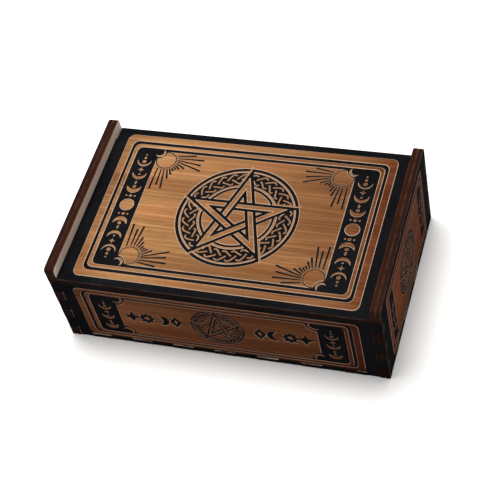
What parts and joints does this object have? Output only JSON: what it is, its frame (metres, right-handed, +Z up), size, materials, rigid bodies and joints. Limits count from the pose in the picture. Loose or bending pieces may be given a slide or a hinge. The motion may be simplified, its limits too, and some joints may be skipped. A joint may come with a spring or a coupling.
{
  "type": "card deck box",
  "caption": "Flat rectangular plywood card box with finger-jointed corners, raised end walls and an engraved lid that slides out of grooves towards the front.",
  "frame": {"origin": "centre of the underside, on the surface the box stands on", "axes": "+X along the box's length, +Y from the front towards the rear, +Z up; the lid slides out along -Y"},
  "size_m": [0.16, 0.096, 0.0524],
  "materials": {
    "engraved_lid": "satin veneer with black laser engraving",
    "engraved_board": "satin veneer with black laser engraving",
    "engraved_end_board": "satin veneer with black laser engraving and dark cut edges",
    "inner_end_board": "satin plywood with dark cut edges",
    "inner_board": "plain satin plywood"
  },
  "bodies": {
    "box": {"bottom_panel": "inner_board", "front_wall": "engraved_board", "back_wall": "engraved_board", "left_outer_panel": "engraved_end_board", "left_inner_panel": "inner_end_board", "right_outer_panel": "engraved_end_board", "right_inner_panel": "inner_end_board"},
    "lid": {"sliding_lid": "engraved_lid"}
  },
  "joints": [
    {"name": "lid_slide", "type": "slide", "parent": "box", "child": "lid", "axis": [0, -1, 0], "range_m": [0, 0.1]}
  ]
}
